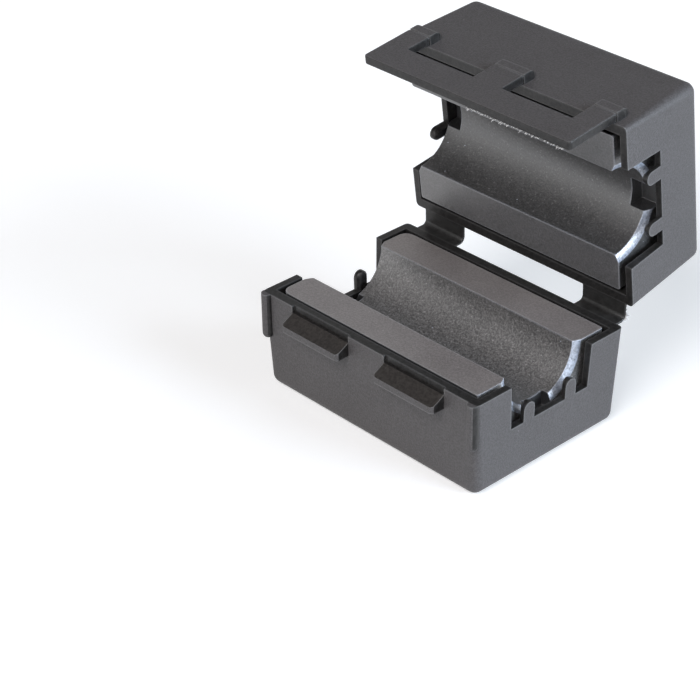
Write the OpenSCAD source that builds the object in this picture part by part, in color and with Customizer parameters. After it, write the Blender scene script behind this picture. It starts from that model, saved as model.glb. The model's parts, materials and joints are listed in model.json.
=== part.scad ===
// Clip-on ferrite core for a round cable. A moulded case folds about two flexible straps at its
// back and holds a ferrite block with a half-round channel in each half. A flap on the lid snaps
// over two catches on the lower half.
// +X runs along the cable, -Y is the latch side, +Y the hinge side and +Z up. The origin is the
// middle of the lower half's floor. Each half is drawn below its mating plane, z = 0, and is then
// lifted, or turned over and folded open. Sizes are in millimetres.

/* [Ferrite halves] */
// Length of a ferrite half
core_len = 29.7; // [27:0.1:34]
// Width of a ferrite half
core_w = 19; // [17.5:0.1:22]
// Height of a ferrite half
core_h = 9.65; // [8:0.1:12]
// Radius of the upright corner edges
core_corner_r = 0.3; // [0.2:0.1:2]
// Radius of those edges at the lower half's far end
core_far_r = 1.2; // [0.2:0.1:2]
// Diameter of the cable channel
bore_d = 10.3; // [9:0.05:11]
// Width of the bevel round each channel mouth
mouth_bevel = 0.85; // [0.3:0.05:1.2]
// Depth of that bevel along the cable
mouth_bevel_depth = 0.45; // [0.2:0.05:1]
// Width of the notch in the channel's bottom at each end
notch_w = 3.2; // [2:0.1:4]
// Length of that notch along the cable in the lower half
notch_len = 1.3; // [0.8:0.1:3]
// Length of the notch in the upper half
upper_notch_len = 2.3; // [0.8:0.1:3]
// How far the upper half's notch lies towards the hinge
upper_notch_shift = 0.5; // [0:0.1:1]
// Depth of that notch below the channel's bottom
notch_depth = 1.5; // [0.8:0.1:2]
// Gap between the two ferrite faces when the case is shut
face_gap = 0.1; // [0.05:0.05:0.3]
// Free play of a ferrite half at each end
core_play = 0.36; // [0.1:0.02:0.5]
// How far the upper half has slid in its play, towards -X
upper_slide = 0.35; // [0:0.05:0.35]
// Clearance beside a ferrite half at the floor
core_side_clear = 0.2; // [0.05:0.05:0.3]
// How far the lower half lies off the middle in that clearance, towards the latch
lower_shift = 0.1; // [0:0.05:0.2]

/* [Case halves] */
// Thickness of the side walls at the rim
side_wall = 1.15; // [1:0.05:1.6]
// Thickness of the end walls at the rim
end_wall = 0.89; // [0.8:0.02:1.4]
// Thickness of the floor and of the roof
floor_t = 2; // [1.8:0.1:3]
// How far the end walls lean in over their height
end_draft = 0.32; // [0.1:0.01:0.5]
// How far the side walls lean in over their height
side_draft = 0.16; // [0.05:0.01:0.4]
// How much wider the cavity is at the rim than at the floor, on each side
cavity_draft = 0.15; // [0.1:0.05:0.5]
// Radius of the edges round the floor and the roof
floor_edge_r = 1.2; // [0.5:0.1:1.3]
// Radius of the upright corner edges at the rim
corner_r = 0.5; // [0.2:0.1:0.8]
// Width of the seam between the two rims when the case is shut
seam = 0.2; // [0.1:0.05:0.4]

/* [End slots and cable fingers] */
// Width of the end slot beyond the cable channel, on each side
slot_side = 0.9; // [0.4:0.05:1]
// How much narrower the end slot is at its bottom, on each side
slot_taper = 0.25; // [0:0.05:0.4]
// Depth of the end slot below the channel's bottom
slot_drop = 0.15; // [0.05:0.01:0.5]
// Distance between the centres of the two fingers of a slot
finger_pitch = 6.3; // [5.5:0.1:7]
// Width of a finger
finger_w = 1.6; // [1.2:0.05:2.2]
// Height of a finger above the slot's bottom
finger_h = 2.2; // [1.4:0.1:3]
// Thickness of a finger
finger_t = 0.95; // [0.6:0.05:1]
// Chamfer along the inner edges of a finger
finger_chamfer = 0.35; // [0.1:0.05:0.5]

/* [Spring tongues] */
// Distance from the end wall to the window that a tongue lies in
window_inset = 0.2; // [0.1:0.05:1]
// Length of that window
window_len = 6.8; // [6.2:0.1:6.9]
// Length of a tongue
tongue_len = 5.1; // [4:0.1:5.4]
// Width of a tongue
tongue_w = 5.2; // [4:0.1:6]
// Width of the slot round a tongue
tongue_slot = 0.45; // [0.3:0.05:0.8]
// Width of the ledge beside that slot
tongue_ledge = 0.25; // [0.1:0.05:0.5]
// Thickness of a tongue
tongue_t = 0.8; // [0.6:0.05:1.2]

/* [Catches] */
// Gap between the two catches
catch_gap = 5.4; // [5:0.1:7]
// How far a catch stands out from the wall
catch_out = 1.7; // [1.4:0.05:2]
// Distance from the mating plane to the top of a catch
catch_top = 0.9; // [0.6:0.05:1]
// Drop of the sloping top of a catch
catch_slope = 0.9; // [0.3:0.05:1.1]
// Height of the front edge of a catch
catch_edge = 0.75; // [0.5:0.05:1.2]
// Chamfer at the outer ends of a catch
catch_chamfer = 0.3; // [0.1:0.05:0.6]
// Depth of the recess in the wall above a catch
catch_recess = 0.3; // [0.1:0.05:0.5]

/* [Guard ribs] */
// Radius of a guard rib
rib_r = 0.65; // [0.4:0.05:0.7]
// Length of a guard rib below the rim
rib_len = 5.6; // [4:0.1:9]

/* [Latch flap] */
// Distance from each end of the case to the flap
flap_inset = 1.5; // [1.45:0.05:2.2]
// Thickness of the flap
flap_t = 1; // [0.7:0.05:1.4]
// Clearance between the flap and the wall behind it
flap_clear = 0.1; // [0.05:0.01:0.15]
// Height of the bar that snaps under the catches
bar_h = 3.75; // [2.4:0.05:4.2]
// Clearance between the bar and the catches
bar_clear = 0.25; // [0.1:0.05:0.4]
// Clearance between a window of the flap and the catch in it, at each end
window_clear = 0.25; // [0.15:0.05:0.4]
// Width of an outer arm of the flap
arm_w = 3; // [2:0.05:3]
// Width of the middle arm of the flap
middle_arm_w = 4.1; // [3:0.1:4.4]
// Radius of the flap's free corners
flap_corner_r = 0.4; // [0.2:0.1:0.8]
// Height of the fold of the flap above the mating plane
fold_h = 0.45; // [0.3:0.05:0.7]
// Gap at the fold between the flap and the knuckles
fold_gap = 0.14; // [0.1:0.02:0.2]
// Height of the knuckles' flat front
knuckle_h = 1; // [0.6:0.1:1.6]
// Height of the slope above that flat front
knuckle_slope = 1.25; // [0.8:0.05:2]
// How much narrower a knuckle is at its top, on each side
knuckle_taper = 0.3; // [0.1:0.05:0.6]

/* [Hinge] */
// How far the case stands open
open_angle = 82.8; // [60:0.05:95]
// Distance from each end of the case to the middle of a strap
strap_inset = 4.25; // [3.4:0.05:6]
// Width of a strap
strap_w = 6.2; // [4:0.1:6.4]
// Thickness of a strap
strap_t = 0.35; // [0.3:0.05:0.6]
// Distance from a strap to the mating plane
strap_drop = 0.28; // [0.2:0.02:0.5]
// How far a strap reaches back from the wall
strap_reach = 1.62; // [1.5:0.02:2.4]
// Inner radius of a strap's bend
strap_bend_r = 0.5; // [0.2:0.05:0.6]
// Height of the fold line above the mating plane
hinge_h = 0.08; // [0:0.01:0.2]

/* [Hidden] */
round_fn = 96;       // roundness of the bores
small_fn = 32;       // roundness of small edges
over = 1;            // how far a cut runs past the face that it opens
bite = 0.3;          // how far an added feature reaches into its wall
skin = 0.01;         // thickness of the rim slice of a hull
strap_gap = 0.05;    // clearance between a strap and the lid

charcoal = [0.22, 0.22, 0.23];
ferrite_grey = [0.43, 0.41, 0.40];

bore_r = bore_d / 2;
core_top = -face_gap / 2;
cavity_floor = core_top - core_h;
half_h = floor_t - cavity_floor;
rim = -seam / 2;

cavity_end = core_len / 2 + core_play;                  // half length at the floor
cavity_side = core_w / 2 + core_side_clear;             // half width at the floor
end_x = cavity_end + cavity_draft + end_wall;           // half length of the case
side_y = cavity_side + cavity_draft + side_wall;        // half width of the case

slot_half = bore_r + slot_side;
slot_bottom = -bore_r - slot_drop;
slide = min(upper_slide, core_play);
shift = min(lower_shift, core_side_clear);
tongue_root_x = cavity_end - window_inset - window_len;
strap_x = end_x - strap_inset;

catch_low = -catch_top - catch_slope - catch_edge;      // underside of the catches
bar_top = catch_low - bar_clear;
flap_end = end_x - flap_inset;
window_end = flap_end - arm_w;
catch_len = window_end - window_clear - catch_gap / 2;
catch_x = (catch_gap + catch_len) / 2;
flap_in = side_y + flap_clear;
flap_out = flap_in + flap_t;
arm_x = (window_end + flap_end) / 2;
rib_x = end_x - rib_r;

hinge_y = side_y + strap_reach;
strap_far = strap_drop + strap_t;

// A point of the shut lid, given as [y, z], where it lies with the lid folded open.
function opened(p, a = open_angle) =
    let (dy = p[0] - hinge_y, dz = p[1] - hinge_h)
    [hinge_y + dy * cos(a) + dz * sin(a), hinge_h - dy * sin(a) + dz * cos(a)];

// Copies at +X and -X, the second one mirrored.
module both_ends() {
    children();
    mirror([1, 0, 0]) children();
}

// Extrudes an outline drawn as [y, z] along X, to each side of the middle.
module along_x(length) {
    rotate([90, 0, 90]) linear_extrude(height = length, center = true) children();
}

// Extrudes an outline drawn as [x, z] along Y, from y0 to y1.
module along_y(y0, y1) {
    translate([0, y1, 0]) rotate([90, 0, 0]) linear_extrude(height = y1 - y0) children();
}

module lower_place() {
    translate([0, 0, half_h]) children();
}

module upper_place() {
    translate([0, hinge_y, half_h + hinge_h])
        rotate([-open_angle, 0, 0])
            translate([0, -hinge_y, -hinge_h]) children();
}

// Outside of one half: leaning walls, soft edges round the floor.
module half_body() {
    hull() {
        for (x = [-1, 1], y = [-1, 1]) {
            translate([x * (end_x - corner_r), y * (side_y - corner_r), rim - skin])
                cylinder(r = corner_r, h = skin, $fn = small_fn);
            translate([x * (end_x - end_draft - floor_edge_r),
                       y * (side_y - side_draft - floor_edge_r),
                       floor_edge_r - half_h])
                sphere(r = floor_edge_r, $fn = small_fn);
        }
    }
}

// Room for the ferrite, a little wider at the mating plane than at the floor.
module cavity() {
    intersection() {
        along_x(2 * end_x) cavity_outline(cavity_side);
        along_y(-side_y, side_y) cavity_outline(cavity_end);
    }
}

module cavity_outline(half) {
    lean = cavity_draft * (over - cavity_floor) / -cavity_floor;
    polygon([[-half, cavity_floor], [half, cavity_floor],
             [half + lean, over], [-half - lean, over]]);
}

// One cable finger: flat and flush outside, chamfered inside, with a round tip.
module finger() {
    tip_r = finger_w / 2;                               // half width, and radius of the tip
    inside = end_x - finger_t;
    intersection() {
        translate([0, 0, slot_bottom - over]) linear_extrude(height = over + finger_h)
            polygon([[end_x + over, -tip_r], [end_x + over, tip_r],
                     [inside + finger_chamfer, tip_r], [inside, tip_r - finger_chamfer],
                     [inside, finger_chamfer - tip_r], [inside + finger_chamfer, -tip_r]]);
        along_x(4 * end_x) {
            translate([-tip_r, slot_bottom - over]) square([finger_w, over + finger_h - tip_r]);
            translate([0, slot_bottom + finger_h - tip_r]) circle(r = tip_r, $fn = small_fn);
        }
    }
}

// Opening in an end wall, leaving the two fingers standing.
module end_slot() {
    low_half = slot_half - slot_taper;
    high_half = slot_half + slot_taper * over / -slot_bottom;
    difference() {
        translate([end_x, 0, 0]) along_x(2 * (end_x - cavity_end + over))
            polygon([[-low_half, slot_bottom], [low_half, slot_bottom],
                     [high_half, over], [-high_half, over]]);
        for (side = [-1, 1])
            translate([0, side * finger_pitch / 2, 0]) finger();
    }
}

// Window in the floor with its spring tongue, rooted at the inner end of the window.
module tongue_window() {
    pocket_w = tongue_w + 2 * (tongue_slot + tongue_ledge);
    tip_r = tongue_w / 4;
    translate([tongue_root_x, -pocket_w / 2, -half_h - over])
        cube([window_len, pocket_w, over + floor_t - tongue_t]);
    difference() {
        translate([tongue_root_x, -tongue_w / 2 - tongue_slot, -half_h])
            cube([window_len, tongue_w + 2 * tongue_slot, floor_t + over]);
        translate([tongue_root_x, 0, -half_h - over])
            linear_extrude(height = floor_t + 3 * over) {
                translate([-over, -tongue_w / 2]) square([over + tongue_len - tip_r, tongue_w]);
                translate([-over, tip_r - tongue_w / 2])
                    square([over + tongue_len, tongue_w - 2 * tip_r]);
                for (side = [-1, 1])
                    translate([tongue_len - tip_r, side * (tongue_w / 2 - tip_r)])
                        circle(r = tip_r, $fn = small_fn);
            }
    }
}

// What both halves share.
module case_half() {
    difference() {
        half_body();
        cavity();
        both_ends() end_slot();
        both_ends() tongue_window();
    }
}

// One catch: sloping top, upright edge, flat underside, chamfered outer ends.
module catch() {
    root = catch_len / 2;
    intersection() {
        along_x(catch_len)
            polygon([[bite - side_y, -catch_top], [-side_y, -catch_top],
                     [-side_y - catch_out, -catch_top - catch_slope],
                     [-side_y - catch_out, catch_low], [bite - side_y, catch_low]]);
        translate([0, -side_y, catch_low - over])
            linear_extrude(height = 2 * over - catch_low)
                polygon([[-root, bite], [root, bite], [root, catch_chamfer - catch_out],
                         [root - catch_chamfer, -catch_out], [catch_chamfer - root, -catch_out],
                         [-root, catch_chamfer - catch_out]]);
    }
}

module catch_recess_cut() {
    translate([-catch_len / 2, -side_y - over, -catch_top])
        cube([catch_len, over + catch_recess, catch_top + over]);
}

// Half-round rib down the corner, with a round lower end.
module guard_rib() {
    translate([rib_x, -side_y, rib_r - rib_len]) {
        cylinder(r = rib_r, h = rim - rib_r + rib_len, $fn = small_fn);
        sphere(r = rib_r, $fn = small_fn);
    }
}

module lower_case() {
    color(charcoal) lower_place() {
        difference() {
            union() {
                case_half();
                both_ends() difference() {
                    guard_rib();
                    translate([0, -cavity_side, -half_h]) cube([2 * end_x, 2 * side_y, 2 * half_h]);
                }
            }
            both_ends() translate([catch_x, 0, 0]) catch_recess_cut();
        }
        both_ends() translate([catch_x, 0, 0]) catch();
    }
}

// One knuckle on the lid's front wall, at the width of the arm that folds below it.
module knuckle(width) {
    low = fold_h + fold_gap / 2;
    top = low + knuckle_h + knuckle_slope;
    half_top = width / 2 - knuckle_taper;
    intersection() {
        along_x(width)
            polygon([[bite - side_y, low], [-flap_out, low], [-flap_out, low + knuckle_h],
                     [-side_y, top], [bite - side_y, top]]);
        along_y(-flap_out - over, 0)
            polygon([[-width / 2, low], [width / 2, low], [width / 2, low + knuckle_h],
                     [half_top, top], [-half_top, top], [-width / 2, low + knuckle_h]]);
    }
}

module upper_case() {
    color(charcoal) upper_place() {
        mirror([0, 0, 1]) case_half();
        knuckle(middle_arm_w);
        both_ends() translate([arm_x, 0, 0]) knuckle(arm_w);
    }
}

// Outline of the flap: the bar with its round corners, and three arms up to the fold.
module flap_outline() {
    low = bar_top - bar_h;
    arm_top = fold_h - fold_gap / 2;
    translate([-flap_end, low + flap_corner_r]) square([2 * flap_end, bar_h - flap_corner_r]);
    translate([flap_corner_r - flap_end, low]) square([2 * (flap_end - flap_corner_r), bar_h]);
    for (side = [-1, 1]) {
        translate([side * (flap_end - flap_corner_r), low + flap_corner_r])
            circle(r = flap_corner_r, $fn = small_fn);
        translate([side * arm_x - arm_w / 2, bar_top - over])
            square([arm_w, arm_top - bar_top + over]);
    }
    translate([-middle_arm_w / 2, bar_top - over])
        square([middle_arm_w, arm_top - bar_top + over]);
}

module latch_flap() {
    color(charcoal) upper_place() along_y(-flap_out, -flap_in) flap_outline();
}

// A strap with the lid open: back from the lower wall, round the bend and up to the lid's wall.
module hinge_strap() {
    bend = [hinge_y - strap_bend_r, strap_bend_r - strap_drop];
    outer_r = strap_bend_r + strap_t;
    lid_wall = side_y + strap_gap;
    along_x(strap_w) {
        translate([side_y, -strap_far]) square([bend[0] - side_y, strap_t]);
        intersection() {
            difference() {
                translate(bend) circle(r = outer_r, $fn = round_fn);
                translate(bend) circle(r = strap_bend_r, $fn = round_fn);
            }
            translate([bend[0], -strap_far]) square([outer_r, outer_r]);
        }
        polygon([[hinge_y, bend[1]], [hinge_y + strap_t, bend[1]],
                 opened([lid_wall, strap_far]), opened([lid_wall, strap_drop])]);
    }
}

module hinge_strap_left() {
    color(charcoal) lower_place() translate([-strap_x, 0, 0]) hinge_strap();
}

module hinge_strap_right() {
    color(charcoal) lower_place() translate([strap_x, 0, 0]) hinge_strap();
}

// Plan of the +X part of a ferrite half, from just past its middle to its two round corners.
module core_plan(corner_r) {
    flat_x = core_len / 2 - corner_r;
    flat_y = core_w / 2 - corner_r;
    translate([-over, -core_w / 2]) square([over + flat_x, core_w]);
    translate([-over, -flat_y]) square([over + core_len / 2, 2 * flat_y]);
    for (side = [-1, 1])
        translate([flat_x, side * flat_y]) circle(r = corner_r, $fn = small_fn);
}

// One ferrite half with its channel, the bevels round the mouths and a notch at each end.
module ferrite_half(notch_run, notch_y, far_r) {
    difference() {
        translate([0, 0, cavity_floor]) linear_extrude(height = core_h) {
            core_plan(core_corner_r);
            mirror([1, 0, 0]) core_plan(far_r);
        }
        rotate([0, 90, 0])
            cylinder(r = bore_r, h = core_len + 2 * over, center = true, $fn = round_fn);
        both_ends() {
            translate([core_len / 2 - mouth_bevel_depth, 0, 0]) rotate([0, 90, 0])
                cylinder(r1 = bore_r, r2 = bore_r + mouth_bevel * (1 + over / mouth_bevel_depth),
                         h = mouth_bevel_depth + over, $fn = round_fn);
            translate([core_len / 2 - notch_run, notch_y - notch_w / 2, -bore_r - notch_depth])
                cube([notch_run + over, notch_w, bore_r + notch_depth]);
        }
    }
}

module lower_core() {
    color(ferrite_grey) lower_place() translate([0, -shift, 0])
        ferrite_half(notch_len, 0, core_far_r);
}

module upper_core() {
    color(ferrite_grey) upper_place() translate([-slide, 0, 0])
        mirror([0, 0, 1]) ferrite_half(upper_notch_len, upper_notch_shift, core_corner_r);
}

lower_case();
upper_case();
latch_flap();
hinge_strap_left();
hinge_strap_right();
lower_core();
upper_core();
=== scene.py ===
# %% [markdown]
# # A clip-on ferrite core, folded open
#
# A clip-on ferrite is a small moulded case that folds round a cable and presses two ferrite half
# cores against it. This notebook dresses the imported solids of one such part: it builds each piece
# again with the small radii, flash and surface finish of the real moulding, and lets each rigid
# piece ride on the body that it belongs to. Lengths are written in millimetres, as on a maker's
# drawing, and each mesh is scaled to metres once, at its end.

import json
import math
import random

import bmesh
import bpy
from mathutils import Matrix, Vector


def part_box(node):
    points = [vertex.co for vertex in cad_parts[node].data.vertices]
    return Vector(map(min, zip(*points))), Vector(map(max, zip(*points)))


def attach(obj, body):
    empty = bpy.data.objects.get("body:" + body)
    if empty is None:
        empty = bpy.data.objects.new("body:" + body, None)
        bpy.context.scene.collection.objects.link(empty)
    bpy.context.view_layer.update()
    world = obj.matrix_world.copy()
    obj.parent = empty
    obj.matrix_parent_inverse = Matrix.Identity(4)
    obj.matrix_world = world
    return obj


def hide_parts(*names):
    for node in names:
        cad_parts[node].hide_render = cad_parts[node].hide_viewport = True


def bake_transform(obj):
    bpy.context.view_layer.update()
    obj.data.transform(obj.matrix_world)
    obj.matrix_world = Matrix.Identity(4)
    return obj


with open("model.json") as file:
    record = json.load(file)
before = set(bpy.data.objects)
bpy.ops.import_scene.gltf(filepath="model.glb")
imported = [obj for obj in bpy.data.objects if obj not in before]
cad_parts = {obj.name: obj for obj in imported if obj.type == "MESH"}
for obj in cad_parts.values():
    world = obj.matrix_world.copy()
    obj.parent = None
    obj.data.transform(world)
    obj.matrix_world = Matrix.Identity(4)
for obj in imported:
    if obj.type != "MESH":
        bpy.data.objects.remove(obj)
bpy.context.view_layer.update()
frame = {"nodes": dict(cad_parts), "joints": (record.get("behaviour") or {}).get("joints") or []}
MM = 0.001
print("solids:", sorted(frame["nodes"]))

# %% [markdown]
# ## Sizes
#
# The solids already have the right sizes, so the main ones are read from their boxes. Small
# sizes that no box shows, such as the thickness of a wall, are plain values, set where they are
# first needed. Each half is drawn below its mating plane, at z = 0, and put in its place
# afterwards: the lower half is lifted, and the upper one is turned over and folded open about the
# hinge line.

# %% Main sizes, from the solids
case_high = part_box("lower_case")[1] / MM
core_low, core_high = (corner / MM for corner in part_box("lower_core"))
hinge = next(j for j in frame["joints"] if j["name"] == "case_hinge")
hinge_y, hinge_z = hinge["pos_m"][1] / MM, hinge["pos_m"][2] / MM

SEAM = 0.2                              # between the two rims when the case is shut
mating_z = case_high.z + SEAM / 2       # height of the mating plane above the floor
end_x = case_high.x                     # half length of the case
side_y = case_high.y                    # half width of the case
core_x = core_high.x                    # half length of a ferrite half
core_y = (core_high.y - core_low.y) / 2
core_shift = (core_high.y + core_low.y) / 2         # the lower one lies towards the latch
core_depth = core_high.z - core_low.z
OPEN_ANGLE = math.radians(82.8)         # from shut to how the lid stands at rest
print("case half:", round(end_x, 2), round(side_y, 2), round(mating_z, 2))

# %% Walls of the case
END_WALL, SIDE_WALL, FLOOR = 0.89, 1.15, 2.0     # how thick the walls are at the rim, and the floor
rim = -SEAM / 2
CAVITY_LEAN = 0.15                               # draft of the cavity over its depth
cavity_floor = FLOOR - mating_z
cavity_end = end_x - END_WALL - CAVITY_LEAN      # half length of the cavity at its floor
cavity_side = side_y - SIDE_WALL - CAVITY_LEAN
print("cavity floor:", round(2 * cavity_end, 2), "by", round(2 * cavity_side, 2))

# %% Latch: catches on the lower half, arms and windows in the flap
CATCH_OUT, CATCH_TOP, CATCH_SLOPE, CATCH_EDGE = 1.7, 0.9, 0.9, 0.75
FLAP_CLEAR, FLAP_T, FLAP_INSET = 0.1, 1.0, 1.5
BAR_H, BAR_CLEAR, WINDOW_CLEAR = 3.75, 0.25, 0.25
ARM_W, MIDDLE_ARM_W, CATCH_GAP = 3.0, 4.1, 5.4
FOLD_H, FOLD_GAP = 0.45, 0.14                    # the fold's height and how far apart its sides are

flap_in, flap_out = side_y + FLAP_CLEAR, side_y + FLAP_CLEAR + FLAP_T
flap_end = end_x - FLAP_INSET
window_end = flap_end - ARM_W
arm_x = (flap_end + window_end) / 2
catch_len = window_end - WINDOW_CLEAR - CATCH_GAP / 2
catch_x = (CATCH_GAP + catch_len) / 2
catch_low = -CATCH_TOP - CATCH_SLOPE - CATCH_EDGE
bar_top = catch_low - BAR_CLEAR
bar_low = bar_top - BAR_H
print("flap:", round(2 * flap_end, 2), "wide, each catch:", round(catch_len, 2))

# %% Where the two halves lie
lower_place = Matrix.Translation((0, 0, mating_z))
fold_line = Matrix.Translation((0, hinge_y, hinge_z))
upper_place = (fold_line @ Matrix.Rotation(-OPEN_ANGLE, 4, "X")
               @ Matrix.Translation((0, -hinge_y, mating_z - hinge_z)))
turned_over = Matrix.Diagonal((1, 1, -1, 1))
print("middle of the lid's mating plane:", [round(v, 2) for v in upper_place.translation])

# %% [markdown]
# ## Camera
#
# The clip is small and seen from its near end, from above, with a long lens, so that its parallel
# edges stay nearly parallel. The camera is written as a direction, a distance and a lens, and is
# then slid a little to the left and down, so that the clip sits right of the middle and above it.
# A slide keeps the perspective centred, which a lens shift would not.

# %% Camera
def direction(azimuth, elevation):
    """A direction from two angles in degrees: round from +X, and up from level."""
    a, e = math.radians(azimuth), math.radians(elevation)
    return Vector((math.cos(a) * math.cos(e), math.sin(a) * math.cos(e), math.sin(e)))


ROLL = math.radians(-0.99)
DISTANCE = 239.8                         # from the middle of the lower mating plane
SLIDE_LEFT, SLIDE_DOWN = 9.66, 4.53
LENS, SENSOR = 115.2, 36
NEAREST, FARTHEST = 0.01, 10             # metres

camera_data = bpy.data.cameras.new("camera")
camera = bpy.data.objects.new("camera", camera_data)
bpy.context.collection.objects.link(camera)
bpy.context.scene.camera = camera
camera_data.sensor_width, camera_data.lens = SENSOR, LENS
camera_data.clip_start, camera_data.clip_end = NEAREST, FARTHEST

back = direction(azimuth=-42.55, elevation=31.65)
level = (-back).cross(Vector((0, 0, 1))).normalized()
upright = level.cross(-back)
right = math.cos(ROLL) * level + math.sin(ROLL) * upright
up = math.cos(ROLL) * upright - math.sin(ROLL) * level
place = Vector((0, 0, mating_z)) + DISTANCE * back - SLIDE_LEFT * right - SLIDE_DOWN * up
facing = Matrix((right, up, back)).transposed().to_4x4()
camera.matrix_world = Matrix.Translation(place * MM) @ facing
print("camera at, in mm:", [round(v, 1) for v in place])

# %% [markdown]
# ## Stage and light
#
# Dark plastic shows its shape through soft reflections, so it is lit as a small product is: on
# white paper, with a large soft light on each side and a dark ceiling. The right light stands low,
# which makes the upright walls paler than the tops, and it is a little cooler than the left one.
# Together they light white paper about as bright as it is, so every colour renders about as it is
# written. A small glow of its own lifts the paper to full white wherever it is seen, directly or
# in a reflection, and its plain part keeps the shadow. The glow grows away from the clip, where the
# lamps fade, so that the paper stays white up to the horizon. The room's backdrop is white too,
# and darkens only high up.

# %% Helpers for node trees
def new_material(name):
    """An empty node material, with its tree and its output node."""
    material = bpy.data.materials.new(name)
    material.use_nodes = True
    tree = material.node_tree
    tree.nodes.clear()
    return material, tree, tree.nodes.new("ShaderNodeOutputMaterial")


def math_node(tree, operation, first, second=None, third=None, clamp=False):
    """A Math node. Each value is a number or a socket to link."""
    node = tree.nodes.new("ShaderNodeMath")
    node.operation, node.use_clamp = operation, clamp
    for socket, value in zip(node.inputs, (first, second, third)):
        if isinstance(value, (int, float)):
            socket.default_value = value
        elif value is not None:
            tree.links.new(value, socket)
    return node.outputs[0]


def map_range(tree, value, between, becomes):
    """A value that lies between two numbers, spread between two others."""
    node = tree.nodes.new("ShaderNodeMapRange")
    labels = ("From Min", "From Max", "To Min", "To Max")
    for label, number in zip(labels, (*between, *becomes)):
        node.inputs[label].default_value = number
    tree.links.new(value, node.inputs["Value"])
    return node.outputs[0]


def seen_directly(tree):
    """1 for what the camera sees, itself, mirrored in something or through it."""
    path = tree.nodes.new("ShaderNodeLightPath")
    either = math_node(tree, "ADD", path.outputs["Is Camera Ray"], path.outputs["Is Glossy Ray"],
                       clamp=True)
    return math_node(tree, "ADD", either, path.outputs["Is Transmission Ray"], clamp=True)


# %% White paper
PAPER = 0.8                              # the share of light that the paper gives back
PAPER_GLOW, FAR_GLOW = 0.4, 0.92         # what the paper adds to itself where it is seen
LIT_REACH = (0.06, 0.5)                  # metres over which the lamps fade and the glow grows
floor_material, tree, output = new_material("white_paper")
paper = tree.nodes.new("ShaderNodeBsdfDiffuse")
paper.inputs["Color"].default_value = (PAPER, PAPER, PAPER, 1)
spot = tree.nodes.new("ShaderNodeTexCoord")
away = tree.nodes.new("ShaderNodeVectorMath")
away.operation = "LENGTH"
tree.links.new(spot.outputs["Object"], away.inputs[0])
glow = map_range(tree, away.outputs["Value"], LIT_REACH, (PAPER_GLOW, FAR_GLOW))
white = tree.nodes.new("ShaderNodeEmission")
white.inputs["Color"].default_value = (1, 1, 1, 1)
tree.links.new(math_node(tree, "MULTIPLY", seen_directly(tree), glow), white.inputs["Strength"])
both = tree.nodes.new("ShaderNodeAddShader")
tree.links.new(paper.outputs[0], both.inputs[0])
tree.links.new(white.outputs[0], both.inputs[1])
tree.links.new(both.outputs[0], output.inputs["Surface"])

# %% Paper floor
HALF, DROP = 3, 0.00002                  # metres; the drop keeps the paper just under the case
floor_mesh = bpy.data.meshes.new("floor")
floor_mesh.from_pydata([(-HALF, -HALF, 0), (HALF, -HALF, 0), (HALF, HALF, 0), (-HALF, HALF, 0)],
                       [], [(0, 1, 2, 3)])
floor = bpy.data.objects.new("floor", floor_mesh)
floor.location.z = -DROP
bpy.context.collection.objects.link(floor)
floor_mesh.materials.append(floor_material)
print("paper, in metres:", 2 * HALF)

# %% Dim room with a white backdrop
ROOM_LIGHT, OVERHEAD = 0.1, 0.05         # OVERHEAD is the backdrop's strength high up, 1 is white
BACKDROP_TOP = (0.05, 0.66)              # it darkens between these; 0 is level, 1 straight up
world = bpy.data.worlds.new("studio")
bpy.context.scene.world = world
world.use_nodes = True
tree = world.node_tree
tree.nodes.clear()
seen_way = tree.nodes.new("ShaderNodeTexCoord")
split = tree.nodes.new("ShaderNodeSeparateXYZ")
tree.links.new(seen_way.outputs["Generated"], split.inputs[0])
backdrop = tree.nodes.new("ShaderNodeBackground")
tree.links.new(map_range(tree, split.outputs["Z"], BACKDROP_TOP, (1, OVERHEAD)),
               backdrop.inputs["Strength"])
room = tree.nodes.new("ShaderNodeBackground")
room.inputs["Strength"].default_value = ROOM_LIGHT
for background in (backdrop, room):
    background.inputs["Color"].default_value = (1, 1, 1, 1)
seen_or_room = tree.nodes.new("ShaderNodeMixShader")
output = tree.nodes.new("ShaderNodeOutputWorld")
tree.links.new(seen_directly(tree), seen_or_room.inputs[0])
tree.links.new(room.outputs[0], seen_or_room.inputs[1])
tree.links.new(backdrop.outputs[0], seen_or_room.inputs[2])
tree.links.new(seen_or_room.outputs[0], output.inputs["Surface"])
bpy.context.scene.view_settings.view_transform = "Standard"

# %% Lamps
def soft_light(name, azimuth, elevation, distance, size, power, colour):
    """A square soft light, aimed at the clip from a direction given in degrees."""
    lamp = bpy.data.lights.new(name, "AREA")
    lamp.size, lamp.energy, lamp.color = size, power, colour
    stand = bpy.data.objects.new(name, lamp)
    bpy.context.collection.objects.link(stand)
    towards = direction(azimuth, elevation)
    stand.location = towards * distance
    stand.rotation_euler = towards.to_track_quat("Z", "Y").to_euler()
    print(name, "at, in metres:", [round(v, 2) for v in stand.location])


soft_light("right_softbox", azimuth=20, elevation=20, distance=1.2, size=0.7, power=17,
           colour=(0.75, 0.865, 1.0))
soft_light("left_softbox", azimuth=-75, elevation=44, distance=1.2, size=0.7, power=11,
           colour=(1.0, 0.98, 0.99))
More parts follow.
